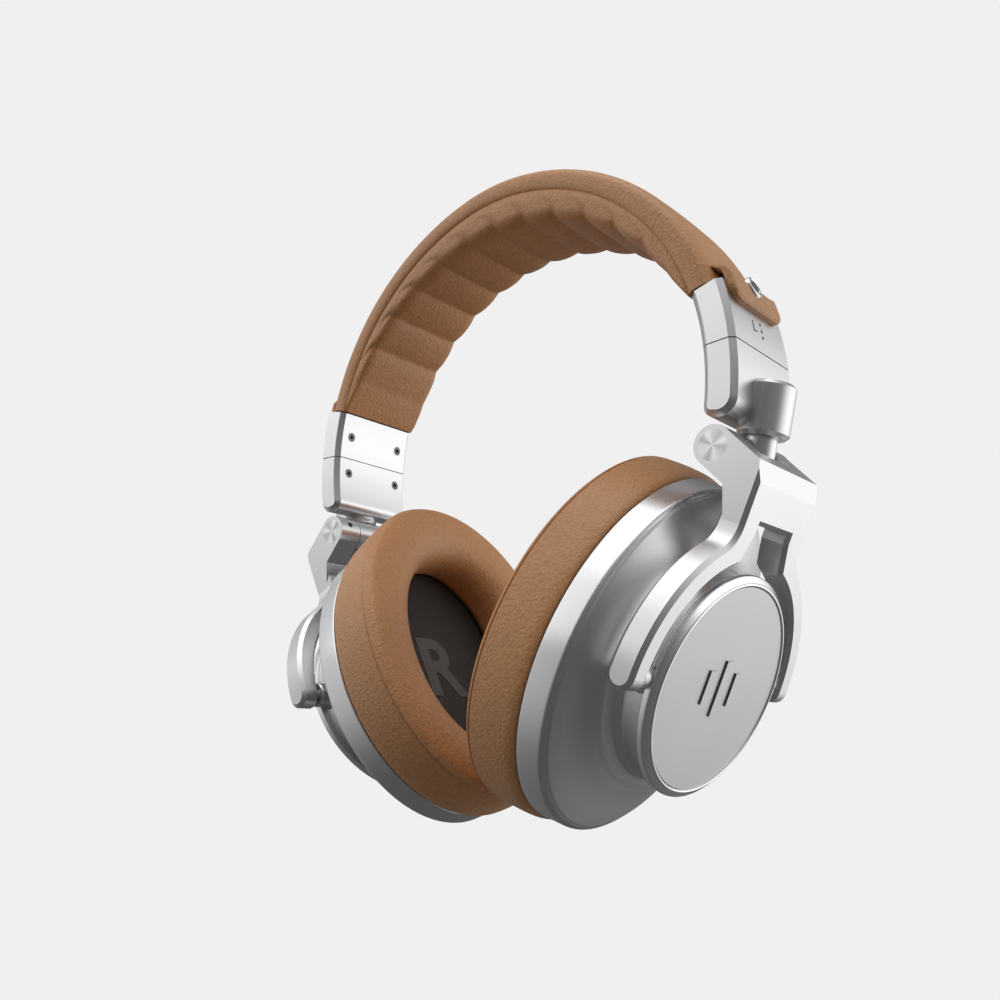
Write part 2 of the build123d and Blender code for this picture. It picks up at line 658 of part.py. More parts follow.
def cup_shell(side):
    """The cup's outer casing, with the tilt bosses and the cable socket's boss."""
    sizes = SOCKETS[side]
    outer = sizes["bore"] + sizes["wall"]
    back = -CAP_HEIGHT
    shell = bowl(0, back)
    boss_reach = ARM_INNER_RADIUS - TILT_BOSS_GAP
    root = NECK_RADIUS - SHELL_WALL - CUT
    for low, high in ((-boss_reach, -root), (root, boss_reach)):
        shell += rod_y(TILT_BOSS_RADIUS, low, high, -TILT_PIN_DEPTH, 0) & disc(
            boss_reach, -2 * JUNCTION_DEPTH, back
        )
    mouth = RIDGE[0] / 2
    boss = rod_z(outer + SOCKET_BOSS_WALL, -SOCKET_REACH + mouth, 0)
    shell += socket_place() * boss
    shell -= bowl(-SHELL_WALL, back - SHELL_WALL)
    shell -= disc(2 * RIDGE[1], -2 * RIDGE_DEPTH, -RIDGE_DEPTH)
    shell -= tilt_holes()
    return CUP_PLACE * (shell - socket_place() * rod_z(outer, -SOCKET_REACH, CUT))


def tilt_holes():
    """The running holes for the tilt pins."""
    radius = TILT_PIN_RADIUS + TILT_PIN_CLEARANCE
    near = NECK_RADIUS - SHELL_WALL - TILT_PIN_END - CUT
    return [
        rod_y(radius, near, arm_outer_radius, -TILT_PIN_DEPTH, 0),
        rod_y(radius, -arm_outer_radius, -near, -TILT_PIN_DEPTH, 0),
    ]


def jack_socket(side):
    """The cable socket: a sleeve closed at its inner end."""
    sizes = SOCKETS[side]
    sleeve = rod_z(sizes["bore"] + sizes["wall"], -sizes["length"] - sizes["wall"], 0)
    return CUP_PLACE * socket_place() * (sleeve - rod_z(sizes["bore"], -sizes["length"], CUT))


def cap_ring():
    ring = disc(CAP_RADIUS, -CAP_HEIGHT, 0)
    ring = chamfer(ring.edges().sort_by(Axis.X)[-1], CAP_CHAMFER)
    ring -= disc(CAP_RADIUS - CAP_RING_WIDTH, -CAP_HEIGHT - CUT, CUT)
    return CUP_PLACE * ring


def cap_disc():
    high = -CAP_DISC_RECESS
    radius = CAP_RADIUS - CAP_RING_WIDTH - CAP_SEAT_GAP
    return CUP_PLACE * disc(radius, high - CAP_DISC_THICKNESS, high)


def cap_emblem():
    """Three plain raised bars."""
    bars = []
    for index, length in enumerate(EMBLEM_LENGTHS):
        y = (index - (len(EMBLEM_LENGTHS) - 1) / 2) * 2 * EMBLEM_BAR
        low = -CAP_DISC_RECESS
        bars.append(Pos(low + EMBLEM_HEIGHT / 2, y, 0) * Box(EMBLEM_HEIGHT, EMBLEM_BAR, length))
    return [CUP_PLACE * bar for bar in bars]


def cup_rim():
    """The oval band between the bowl and the ear cushion."""
    rim = oval_slab(RIM, -RIM_DEPTH, -RIDGE_DEPTH) - oval_slab(
        RIM, -RIM_DEPTH - CUT, -RIDGE_DEPTH + CUT, -RIM_WALL
    )
    return CUP_PLACE * rim


baffle_back = -RIM_DEPTH + BAFFLE_THICKNESS


def baffle():
    """The plate that carries the driver, inside the rim."""
    plate = oval_slab(RIM, -RIM_DEPTH, baffle_back, -RIM_WALL - BAFFLE_FIT)
    plate -= disc(DRIVER_RADIUS + DRIVER_FIT, -RIM_DEPTH - CUT, baffle_back + CUT)
    return CUP_PLACE * (plate - baffle_screw_shapes(CUT))


def baffle_screw_shapes(extra=0.0):
    """Four screws round the driver, pointing into the cup."""
    shapes = []
    for turn in BAFFLE_SCREW_ANGLES:
        y = (DRIVER_RADIUS + BAFFLE_SCREW_STEP) * cos(radians(turn))
        z = (DRIVER_RADIUS + BAFFLE_SCREW_STEP) * sin(radians(turn))
        head = disc(SCREW_HEAD_RADIUS, -RIM_DEPTH - extra, -RIM_DEPTH + SCREW_HEAD_HEIGHT, y, z)
        shank = disc(SCREW_SHANK_RADIUS, -RIM_DEPTH - extra, -RIM_DEPTH + SCREW_LENGTH, y, z)
        shapes.append(head + shank)
    return shapes


def driver_frame():
    frame = disc(DRIVER_RADIUS, -RIM_DEPTH, -RIM_DEPTH + DRIVER_FRAME_DEPTH)
    frame -= disc(DRIVER_RADIUS - DRIVER_FRAME_WALL, -RIM_DEPTH - CUT, baffle_back)
    return CUP_PLACE * (frame - disc(MAGNET_RADIUS, -RIM_DEPTH, 0))


def driver_diaphragm():
    radius = DRIVER_RADIUS - DRIVER_FRAME_WALL
    return CUP_PLACE * disc(radius, baffle_back - DIAPHRAGM_THICKNESS, baffle_back)


def driver_magnet():
    return CUP_PLACE * disc(MAGNET_RADIUS, baffle_back, baffle_back + MAGNET_DEPTH)


def cushion_ring():
    """The plate that the ear cushion is stretched over."""
    ring = oval_slab(RIM, -RIM_DEPTH - PAD_RING_THICKNESS, -RIM_DEPTH, -PAD_RING_INSET)
    hole = oval_slab(CUSHION_HOLE, -RIM_DEPTH - PAD_RING_THICKNESS - CUT, 0, PAD_RING_LAND)
    return CUP_PLACE * (ring - hole)


def driver_cloth():
    """The cloth over the driver, stretched across the cushion ring's opening."""
    high = -RIM_DEPTH - CLOTH_THICKNESS
    cloth = oval_slab(CUSHION_HOLE, high - CLOTH_THICKNESS, high, PAD_RING_LAND - CLOTH_FIT)
    return CUP_PLACE * cloth


def ear_cushion():
    """The padded ring that seals round the ear."""
    back = -RIM_DEPTH - PAD_RING_THICKNESS
    pad = oval_slab(CUSHION, back - CUSHION_THICKNESS, back)
    pad -= oval_slab(CUSHION_HOLE, back - CUSHION_THICKNESS - CUT, back + CUT)
    front = [e for e in pad.edges() if abs((e @ 0.5).X - back + CUSHION_THICKNESS) < 0.01]
    return CUP_PLACE * fillet(front, CUSHION_ROUND)


# ---- writing the sub-parts ----
def both_sides(node, shape):
    """The left piece and its mirror image."""
    shape = Compound(children=list(shape)) if isinstance(shape, list) else shape
    return {f"left_{node}": shape, f"right_{node}": mirror(shape, about=Plane.YZ)}


def build():
    """Every node's shape by name."""
    nodes = {
        "spring_band": spring_band(),
        "headband_core": headband_core(),
        "headband_cover": headband_cover() - rivet_shape() - mirror(rivet_shape(), about=Plane.YZ),
        "headband_padding": headband_padding(),
        "flap_rivets": Compound(children=[rivet_shape(), mirror(rivet_shape(), about=Plane.YZ)]),
    }
    nodes.update(both_sides("end_block", end_block()))
    nodes.update(both_sides("end_cover", end_cover()))
    nodes.update(both_sides("end_cover_screws", screws(upper_screw_angles)))
    nodes.update(both_sides("slider_strip", slider_strip()))
    nodes.update(both_sides("slider_block", slider_block()))
    nodes.update(both_sides("slider_cover", slider_cover()))
    nodes.update(both_sides("slider_cover_screws", screws(lower_screw_angles)))
    nodes.update(both_sides("swivel_knuckle", swivel_knuckle()))
    nodes.update(both_sides("swivel_clip", swivel_clip()))
    nodes.update(both_sides("fork", fork()))
    nodes.update(both_sides("fold_pin", CUP_PLACE * fold_pin_shape()))
    nodes.update(both_sides("fold_pin_screws", [CUP_PLACE * s for s in set_screw_shapes()]))
    nodes.update(both_sides("tilt_pins", [CUP_PLACE * s for s in tilt_pin_shapes()]))
    nodes.update(both_sides("cap_ring", cap_ring()))
    nodes.update(both_sides("cap_disc", cap_disc()))
    nodes.update(both_sides("cap_emblem", cap_emblem()))
    nodes.update(both_sides("cup_rim", cup_rim()))
    nodes.update(both_sides("baffle", baffle()))
    nodes.update(both_sides("baffle_screws", [CUP_PLACE * s for s in baffle_screw_shapes()]))
    nodes.update(both_sides("driver_frame", driver_frame()))
    nodes.update(both_sides("driver_diaphragm", driver_diaphragm()))
    nodes.update(both_sides("driver_magnet", driver_magnet()))
    nodes.update(both_sides("driver_cloth", driver_cloth()))
    nodes.update(both_sides("cushion_ring", cushion_ring()))
    nodes.update(both_sides("ear_cushion", ear_cushion()))
    nodes["left_cup_shell"] = cup_shell("left")
    nodes["right_cup_shell"] = mirror(cup_shell("right"), about=Plane.YZ)
    nodes["left_jack_socket"] = jack_socket("left")
    nodes["right_jack_socket"] = mirror(jack_socket("right"), about=Plane.YZ)
    return nodes


os.makedirs("parts", exist_ok=True)
for node, shape in build().items():
    export_step(shape, f"parts/{node}.step")
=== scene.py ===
import json
import math

import bmesh
import bpy
import numpy as np
from mathutils import Matrix, Vector


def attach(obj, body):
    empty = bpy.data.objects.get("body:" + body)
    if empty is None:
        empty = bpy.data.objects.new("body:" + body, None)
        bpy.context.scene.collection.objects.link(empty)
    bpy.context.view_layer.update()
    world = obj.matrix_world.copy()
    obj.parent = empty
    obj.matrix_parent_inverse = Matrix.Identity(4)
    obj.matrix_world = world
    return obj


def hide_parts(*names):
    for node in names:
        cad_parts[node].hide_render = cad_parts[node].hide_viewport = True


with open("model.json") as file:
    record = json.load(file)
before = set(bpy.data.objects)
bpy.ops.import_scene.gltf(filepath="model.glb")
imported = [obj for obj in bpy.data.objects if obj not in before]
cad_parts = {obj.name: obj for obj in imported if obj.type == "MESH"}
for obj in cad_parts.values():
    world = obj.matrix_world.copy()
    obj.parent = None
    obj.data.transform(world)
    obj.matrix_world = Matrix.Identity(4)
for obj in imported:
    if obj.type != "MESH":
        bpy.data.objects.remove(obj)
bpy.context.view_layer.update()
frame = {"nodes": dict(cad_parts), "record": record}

# Over-ear headphones. Metres; +X is the wearer's left, -Y the front, +Z up.
# The cup's own frame has +X out of the cap, +Y to the back and +Z up the cup, in millimetres.
MM = 0.001
SIDES = ("left", "right")
RING_STEPS = 144
SOFT_ANGLE = math.radians(35)   # edges sharper than this stay crisp
CORNER_SHARE = 0.48             # of a side that one rounded corner may take

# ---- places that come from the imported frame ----
joints = {j["name"]: j for j in frame["record"]["behaviour"]["joints"]}
TILT_PIN_DEPTH = 5.6
CUP_TILT = math.radians(26.0)
OVAL_LEAN = math.radians(19.2)
outward = Vector((math.cos(CUP_TILT), 0, -math.sin(CUP_TILT)))
upward = Vector((math.sin(CUP_TILT), 0, math.cos(CUP_TILT)))
cap_centre = Vector(joints["left_tilt"]["pos_m"]) + TILT_PIN_DEPTH * MM * outward
CUP_FRAME = Matrix((
    (outward.x * MM, 0, upward.x * MM, cap_centre.x),
    (0, MM, 0, 0),
    (outward.z * MM, 0, upward.z * MM, cap_centre.z),
    (0, 0, 0, 1),
))
MIRROR = Matrix.Diagonal((-1, 1, 1, 1))

# the headband's two arcs, millimetres in the row's frame
CROWN_RADIUS = 62.4
CROWN_TOP = 14.2
JOIN_ANGLE = math.radians(10.3)
SIDE_RADIUS = 77.8
crown_z = CROWN_TOP - CROWN_RADIUS
side_x = -(SIDE_RADIUS - CROWN_RADIUS) * math.sin(JOIN_ANGLE)
side_z = crown_z - (SIDE_RADIUS - CROWN_RADIUS) * math.cos(JOIN_ANGLE)


# ---- shader building ----
class Value:
    """A shader socket that takes part in sums; each operator adds its Math node."""

    def __init__(self, tree, socket):
        self.tree, self.socket = tree, socket

    def math(self, operation, *others):
        node = self.tree.nodes.new("ShaderNodeMath")
        node.operation = operation
        for index, item in enumerate((self, *others)):
            if isinstance(item, Value):
                self.tree.links.new(item.socket, node.inputs[index])
            else:
                node.inputs[index].default_value = item
        return Value(self.tree, node.outputs[0])

    def __add__(self, other):
        return self.math("ADD", other)

    def __mul__(self, other):
        return self.math("MULTIPLY", other)

    def __sub__(self, other):
        return self.math("SUBTRACT", other)

    def __rsub__(self, other):
        return (self * -1) + other

    def __pow__(self, other):
        return self.math("POWER", other)

    __radd__, __rmul__ = __add__, __mul__

    def clamped(self):
        return self.math("MAXIMUM", 0.0).math("MINIMUM", 1.0)


class Nodes:
    """A node tree, and the one way that nodes other than Math are added to it."""

    def __init__(self, tree):
        self.tree = tree

    def node(self, kind, settings=None, inputs=None, output=0):
        """Adds a node: its settings first, then the value or link of each socket, by name or place."""
        node = self.tree.nodes.new(kind)
        for key, value in (settings or {}).items():
            setattr(node, key, value)
        for key, value in (inputs or {}).items():
            if isinstance(value, Value):
                self.tree.links.new(value.socket, node.inputs[key])
            else:
                node.inputs[key].default_value = value
        return Value(self.tree, node.outputs[output])

    def colour_mix(self, factor, low, high):
        inputs = {0: factor, 6: low, 7: high}
        return self.node("ShaderNodeMix", {"data_type": "RGBA"}, inputs, output=2)

    def position(self):
        return self.node("ShaderNodeTexCoord", output="Object")

    def part(self, vector, axis):
        return self.node("ShaderNodeSeparateXYZ", None, {0: vector}, output=axis)

    def noise(self, scale, detail=3.0, roughness=0.5):
        inputs = {"Vector": self.position(), "Scale": scale, "Detail": detail, "Roughness": roughness}
        return self.node("ShaderNodeTexNoise", None, inputs)


class Finish(Nodes):
    """A material with one Principled shader."""

    def __init__(self, name, **constants):
        self.material = bpy.data.materials.new(name)
        self.material.use_nodes = True
        super().__init__(self.material.node_tree)
        self.shader = self.tree.nodes["Principled BSDF"]
        for socket, value in constants.items():
            self.shader.inputs[socket.replace("_", " ")].default_value = value

    def feed(self, socket, value):
        self.tree.links.new(value.socket, self.shader.inputs[socket])

    def colour(self, shade, low, high):
        self.feed("Base Color", self.colour_mix(shade, (*low, 1), (*high, 1)))

    def bump(self, height, strength, distance):
        inputs = {"Strength": strength, "Distance": distance, "Height": height}
        self.feed("Normal", self.node("ShaderNodeBump", None, inputs))


def scaled(tint, factor):
    return tuple(min(1.0, c * factor) for c in tint)


def make_metal(name, tint, rough, sparkle=0.06):
    """Silver finishes: a satin ground with a fine sparkle and faint handling marks."""
    metal = Finish(name, Metallic=1.0, Roughness=rough)
    blasting = metal.noise(2600.0, 2.0, 0.7)
    handling = metal.noise(38.0, 4.0, 0.55)
    shade = ((blasting - 0.5) * sparkle + (handling - 0.5) * 0.05 + 0.5).clamped()
    metal.colour(shade, scaled(tint, 0.86), scaled(tint, 1.14))
    metal.feed("Roughness", ((handling - 0.5) * 0.12 + (blasting - 0.5) * 0.05 + rough).clamped())
    metal.bump(blasting, 0.05, 0.0002)
    return metal.material


def make_leather(name, tint):
    """Soft brown leather: small rounded grain pulled out of line, with fine creases between."""
    leather = Finish(name, Roughness=0.45, Specular_IOR_Level=0.55, Sheen_Weight=0.05, Sheen_Roughness=0.5)
    pull = leather.node("ShaderNodeVectorMath", {"operation": "SCALE"}, {0: leather.noise(420.0, 2.0), "Scale": 0.0011})
    pulled = leather.node("ShaderNodeVectorMath", {"operation": "ADD"}, {0: leather.position(), 1: pull})
    pebbles = leather.node(
        "ShaderNodeTexVoronoi",
        {"feature": "SMOOTH_F1"},
        {"Vector": pulled, "Scale": 1250.0, "Smoothness": 0.6},
    )
    creases = leather.noise(700.0, 4.0, 0.65)
    blotches = leather.noise(30.0, 4.0, 0.55)
    grain = (1 - pebbles) * 0.8 + (creases - 0.5) * 0.7
    shade = ((grain - 0.45) * 0.8 + (blotches - 0.5) * 0.9 + 0.5).clamped()
    leather.colour(shade, scaled(tint, 0.78), scaled(tint, 1.22))
    leather.feed("Roughness", (0.50 - grain * 0.1 + (blotches - 0.5) * 0.14).clamped())
    leather.bump(grain, 0.30, 0.0006)
    return leather.material


def make_cloth(name, dark, light):
    """Open knitted speaker cloth: a square grid of tiny holes."""
    cloth = Finish(name, Roughness=0.92, Sheen_Weight=0.25, Sheen_Roughness=0.6)
    where = cloth.position()
    threads = 5200.0
    weave = (cloth.part(where, "Y") * threads).math("SINE") * (cloth.part(where, "Z") * threads).math("SINE")
    cloth.colour((weave * 0.5 + 0.5).clamped(), dark, light)
    cloth.bump(weave, 0.4, 0.0002)
    return cloth.material


def make_plastic(name, tint, rough):
    """Moulded plastic with a spark-eroded texture."""
    plastic = Finish(name, Roughness=rough)
    grain = plastic.noise(900.0, 3.0, 0.6)
    plastic.colour(((grain - 0.5) * 0.5 + 0.5).clamped(), scaled(tint, 0.8), scaled(tint, 1.2))
    plastic.feed("Roughness", (grain * 0.14 + rough).clamped())
    plastic.bump(grain, 0.12, 0.0002)
    return plastic.material


def make_spun(name, tint, rough, centre):
    """Metal faced on a lathe: painted highlights and painted shade as bright and dark fans round the middle, with fine
    turning rings.
    """
    metal = Finish(name, Metallic=1.0, Roughness=rough)
    where = metal.position()
    across = metal.part(where, "X").math("ABSOLUTE") - centre[0]
    rise = metal.part(where, "Z") - centre[1]
    turn = rise.math("ARCTAN2", across)
    # painted highlights and painted shade: bright and dark fans round the axis stand in for the reflections of brushed
    # metal
    painted_highlight_fans = (turn * 4.0 + 0.6).math("SINE") * 0.30 + (turn * 7.0).math("SINE") * 0.12
    from_centre = (across * across + rise * rise).math("SQRT")
    tool_marks = (from_centre * 26000.0).math("SINE") * 0.05
    shade = (painted_highlight_fans + tool_marks + 0.5).clamped()
    metal.colour(shade, scaled(tint, 0.42), tint)
    metal.feed("Roughness", (shade * 0.1 + rough).clamped())
    return metal.material


SATIN = make_metal("satin_silver", (0.70, 0.70, 0.71), 0.33, sparkle=0.16)
RIM_SATIN = make_metal("rim_silver", (0.72, 0.72, 0.73), 0.27, sparkle=0.16)
CAP_SATIN = make_metal("cap_silver", (0.54, 0.54, 0.545), 0.38, sparkle=0.12)
BRIGHT = make_metal("bright_silver", (0.86, 0.86, 0.87), 0.16, sparkle=0.02)
fold_place = joints["left_fold"]["pos_m"]
SPUN = make_spun("spun_silver", (0.92, 0.92, 0.93), 0.26, (fold_place[0], fold_place[2]))
STEEL = make_metal("steel", (0.55, 0.55, 0.56), 0.30)
DARK_STEEL = make_metal("dark_steel", (0.13, 0.13, 0.135), 0.26)
LEATHER = make_leather("leather", (0.60, 0.285, 0.112))
CLOTH = make_cloth("driver_cloth", (0.008, 0.0075, 0.007), (0.024, 0.022, 0.021))
PLASTIC = make_plastic("dark_plastic", (0.035, 0.035, 0.036), 0.5)
PRINT = make_plastic("grey_print", (0.13, 0.125, 0.12), 0.8)

SLOT_FINISH = {
    "satin_silver": SATIN,
    "bright_silver": BRIGHT,
    "leather": LEATHER,
    "cushion": LEATHER,
    "steel": STEEL,
    "dark_steel": DARK_STEEL,
    "dark_plastic": PLASTIC,
    "driver_cloth": CLOTH,
}


# ---- mesh helpers ----
def link(item):
    bpy.context.scene.collection.objects.link(item)
    return item


def add_piece(name, vertices, faces, material, matrix=None, mirror=False, sharp=SOFT_ANGLE):
    """A mesh object from millimetre points, placed by a matrix and mirrored for the right side."""
    mesh = bpy.data.meshes.new(name)
    mesh.from_pydata([tuple(v) for v in vertices], [], [tuple(f) for f in faces])
    mesh.transform(matrix or Matrix.Scale(MM, 4))
    if mirror:
        mesh.transform(MIRROR)
        mesh.flip_normals()
    mesh.validate()
    mesh.materials.append(material)
    piece = link(bpy.data.objects.new(name, mesh))
    mesh.shade_smooth()
    mesh.set_sharp_from_angle(angle=sharp)
    return piece


def rounded_path(points, radii, steps=6):
    """A closed path through the points, each corner rounded off by its radius."""
    points = [np.array(p, float) for p in points]
    path = []
    for index, (corner, radius) in enumerate(zip(points, radii)):
        if radius <= 0:
            path.append(corner)
            continue
        before = points[index - 1] - corner
        after = points[(index + 1) % len(points)] - corner
        start = corner + before / np.linalg.norm(before) * min(radius, CORNER_SHARE * np.linalg.norm(before))
        end = corner + after / np.linalg.norm(after) * min(radius, CORNER_SHARE * np.linalg.norm(after))
        for t in np.linspace(0, 1, steps + 1):
            path.append((1 - t) ** 2 * start + 2 * t * (1 - t) * corner + t**2 * end)
    return np.array(path)


def oval_ring(depth, wide, tall, steps=RING_STEPS):
    """Points of one leaning oval across the cup's axis."""
    t = np.linspace(0, 2 * math.pi, steps, endpoint=False)
    across, along = wide * np.cos(t), tall * np.sin(t)
    y = across * math.cos(OVAL_LEAN) + along * math.sin(OVAL_LEAN)
    z = -across * math.sin(OVAL_LEAN) + along * math.cos(OVAL_LEAN)
    return np.stack([np.full(steps, depth), y, z], axis=1)


def turned(profile, closed=True, steps=RING_STEPS):
    """A surface through ovals: each profile point is (depth, half width, half height)."""
    rings = [oval_ring(*p, steps=steps) for p in profile]
    vertices = np.concatenate(rings)
    faces = []
    count = len(rings)
    for i in range(count if closed else count - 1):
        j = (i + 1) % count
        for k in range(steps):
            m = (k + 1) % steps
            faces.append((i * steps + k, j * steps + k, j * steps + m, i * steps + m))
    if not closed:
        faces.append(range(steps)[::-1])
        faces.append(range((count - 1) * steps, count * steps))
    return vertices, faces


def outward_normals(piece):
    """Turns every face of a closed piece to look outward."""
    b = bmesh.new()
    b.from_mesh(piece.data)
    bmesh.ops.recalc_face_normals(b, faces=b.faces)
    b.to_mesh(piece.data)
    b.free()
    return piece


def cup_piece(side, name, profile, material, replaced, closed=True):
    """An oval or round skin of the cup that stands for one of its CAD pieces."""
    vertices, faces = turned(profile, closed)
    piece = add_piece(f"{side}_{name}", vertices, faces, material, CUP_FRAME, side == "right")
    outward_normals(piece)
    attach(piece, f"{side}_cup")
    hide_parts(f"{side}_{replaced}")


# ---- camera, lights and floor ----
CAMERA_RIGHT = (0.7574, 0.6530, -0.0060)
CAMERA_UP = (0.1677, -0.1856, 0.9682)
CAMERA_BACK = (0.6311, -0.7343, -0.2500)
CAMERA_PLACE = (0.1858, -0.2290, -0.1609)


def make_camera():
    camera = link(bpy.data.objects.new("camera", bpy.data.cameras.new("camera")))
    rows = zip(CAMERA_RIGHT, CAMERA_UP, CAMERA_BACK, CAMERA_PLACE)
    camera.matrix_world = Matrix((*rows, (0, 0, 0, 1)))
    camera.data.sensor_width = 36.0
    camera.data.lens = 35.54
    camera.data.clip_start = 0.01
    camera.data.clip_end = 50.0
    bpy.context.scene.camera = camera


def area_light(name, place, size, power):
    """A soft rectangular lamp turned towards the headphones."""
    light = bpy.data.lights.new(name, "AREA")
    light.shape = "RECTANGLE"
    light.size, light.size_y = size
    light.energy = power
    lamp = link(bpy.data.objects.new(name, light))
    lamp.location = place
    lamp.rotation_euler = (Vector(LIT_POINT) - Vector(place)).to_track_quat("-Z", "Y").to_euler()


# where the studio is bright, as (direction, tightness, strength)
SOFT_BOXES = (
    ((-0.62, -0.76, 0.02), 8.0, 0.34),
    ((-0.95, -0.10, 0.30), 4.0, 0.60),
    ((0.62, 0.76, 0.00), 5.0, 1.60),
    ((0.93, 0.24, 0.25), 24.0, 1.00),
    ((0.05, -0.10, 0.99), 5.0, 0.75),
    ((0.50, -0.30, 0.40), 6.0, 0.28),
)
STUDIO_FLOOR_LEVEL = 0.10
BACKDROP = (0.871, 0.871, 0.871, 1)
LIT_POINT = (0.0, 0.0, -0.07)
FLOOR_HALF = 30.0
FLOOR_HEIGHT = -0.6


def make_world():
    """A pale backdrop, lit by broad soft boxes with darker walls between them."""
    world = bpy.data.worlds.new("studio")
    bpy.context.scene.world = world
    world.use_nodes = True
    studio = Nodes(world.node_tree)
    where = studio.node("ShaderNodeTexCoord", output="Generated")
    glow = STUDIO_FLOOR_LEVEL
    for direction, tightness, strength in SOFT_BOXES:
        aim = {0: where, 1: Vector(direction).normalized()}
        facing = studio.node("ShaderNodeVectorMath", {"operation": "DOT_PRODUCT"}, aim, output="Value")
        glow = facing.math("MAXIMUM", 0.0) ** tightness * strength + glow
    seen = studio.node("ShaderNodeLightPath", output="Is Camera Ray")
    shown = studio.colour_mix(seen, glow, BACKDROP)
    studio.tree.links.new(shown.socket, studio.tree.nodes["Background"].inputs["Color"])


def make_floor():
    """A pale floor far enough below to take no shadow from the headphones."""
    mesh = bpy.data.meshes.new("floor")
    corners = [(x * FLOOR_HALF, y * FLOOR_HALF, FLOOR_HEIGHT) for x, y in ((-1, -1), (1, -1), (1, 1), (-1, 1))]
    mesh.from_pydata(corners, [], [(0, 1, 2, 3)])
    pale = Finish(
        "pale_floor",
        Roughness=1.0,
        Base_Color=(0, 0, 0, 1),
        Specular_IOR_Level=0.0,
        Emission_Color=BACKDROP,
        Emission_Strength=1.0,
    )
    mesh.materials.append(pale.material)
    floor = link(bpy.data.objects.new("floor", mesh))
    floor.visible_diffuse = floor.visible_glossy = floor.visible_shadow = False


def make_studio():
    bpy.context.scene.view_settings.view_transform = "Standard"
    make_world()
    make_floor()
    area_light("key", (-0.62, -0.80, 0.62), (1.2, 0.9), 2.9)
    area_light("top_fill", (0.1, -0.3, 1.2), (1.2, 1.2), 5.0)


# ---- ear cups ----
def lathe(profile, steps=48, hollow=False):
    """A turned piece from (radius, height) points, height along +Z; a hollow one closes on itself."""
    vertices, faces = [], []
    for radius, height in profile:
        for k in range(steps):
            t = 2 * math.pi * k / steps
            vertices.append((radius * math.cos(t), radius * math.sin(t), height))
    count = len(profile)
    for i in range(count if hollow else count - 1):
        j = (i + 1) % count
        for k in range(steps):
            m = (k + 1) % steps
            faces.append((i * steps + k, i * steps + m, j * steps + m, j * steps + k))
    if not hollow:
        faces.append(tuple(range(steps))[::-1])
        faces.append(tuple(range((count - 1) * steps, count * steps)))
    return vertices, faces


BOWL_PROFILE = [
    (-3.0, 26.8, 26.8), (-3.0, 28.5, 28.5), (-10.2, 28.6, 28.6), (-12.0, 32.3, 32.3), (-12.6, 33.0, 33.4),
    (-15.4, 35.0, 39.4), (-18.6, 39.4, 47.8), (-19.4, 39.9, 48.6), (-19.4, 37.6, 46.2), (-12.9, 30.6, 30.8),
    (-5.0, 26.8, 26.8),
]
BOWL_ROUND = [0.3, 0.5, 2.4, 0.7, 0.4, 9.0, 0.5, 0.2, 0.5, 2.0, 0.5]
RIM_PROFILE = [
    (-19.0, 37.0, 46.0), (-18.9, 39.4, 48.2), (-19.9, 40.5, 49.6), (-27.4, 40.7, 50.6), (-27.4, 38.0, 48.0),
]
RIM_ROUND = [0.2, 0.35, 0.7, 0.5, 0.4]
CAP_RING_PROFILE = [
    (-3.2, 27.3, 27.3), (-3.2, 30.0, 30.0), (-1.35, 30.0, 30.0), (-0.35, 28.35, 28.35), (-0.1, 28.2, 28.2),
    (0.0, 27.9, 27.9), (-0.05, 27.65, 27.65), (-0.9, 27.2, 27.2),
]
CAP_RING_ROUND = [0.2, 0.3, 0.45, 0.25, 0.1, 0.15, 0.15, 0.3]


CAP_RADIUS = 27.2
CAP_EDGE = -0.42
CAP_DISH = 0.14


def make_cap_disc(side):
    """The slightly dished face of the cap; the three plain bars on it are the CAD's own."""
    radii = np.linspace(CAP_RADIUS, 0.4, 34)
    profile = [(-2.4, CAP_RADIUS + 0.05, CAP_RADIUS + 0.05), (CAP_EDGE, CAP_RADIUS + 0.05, CAP_RADIUS + 0.05)]
    profile += [(CAP_EDGE - CAP_DISH * (1 - (r / CAP_RADIUS) ** 2), r, r) for r in radii]
    cup_piece(side, "cap_face", profile, CAP_SATIN, "cap_disc", closed=False)


SOCKET_TURN = math.radians(-32.0)
SOCKET_AT = (14.4, 41.0)
SLEEVE_RADIUS = {"left": 3.3, "right": 4.65}
SLEEVE_GAP = 0.03
BOSS_WALL = 1.6
PIVOT_PROFILE = [(5.2, 27.6), (4.3, 28.3), (3.75, 29.2), (3.6, 30.2), (3.6, 32.6), (3.3, 33.0), (0.2, 33.0)]


def make_bosses(side):
    """The swelling round the cable socket, and the two bosses that the tilt pins run in."""
    dy, dz = math.cos(SOCKET_TURN), math.sin(SOCKET_TURN)
    depth, reach = SOCKET_AT
    place = Matrix(((1, 0, 0, -depth), (0, dz, dy, reach * dy), (0, -dy, dz, reach * dz), (0, 0, 0, 1)))
    inner = SLEEVE_RADIUS[side] + SLEEVE_GAP
    outer = inner + BOSS_WALL
    swelling = [
        (inner, -14.0), (inner, -0.1), (inner + 0.25, 0.12), (outer - 0.45, 0.12), (outer - 0.1, -0.15),
        (outer, -0.6), (outer + 0.3, -5.0), (outer + 1.1, -9.0), (outer + 2.4, -12.0), (outer + 2.4, -14.0),
    ]
    shapes = [("socket_boss", lathe(swelling, 64, hollow=True), place)]
    for name, way in (("front_pivot_boss", -1), ("back_pivot_boss", 1)):
        turn = Matrix(((way, 0, 0, -TILT_PIN_DEPTH), (0, 0, way, 0), (0, 1, 0, 0), (0, 0, 0, 1)))
        shapes.append((name, lathe(PIVOT_PROFILE, 40), turn))
    for name, (vertices, faces), matrix in shapes:
        piece = add_piece(f"{side}_{name}", vertices, faces, SATIN, CUP_FRAME @ matrix, side == "right")
        outward_normals(piece)
        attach(piece, f"{side}_cup")


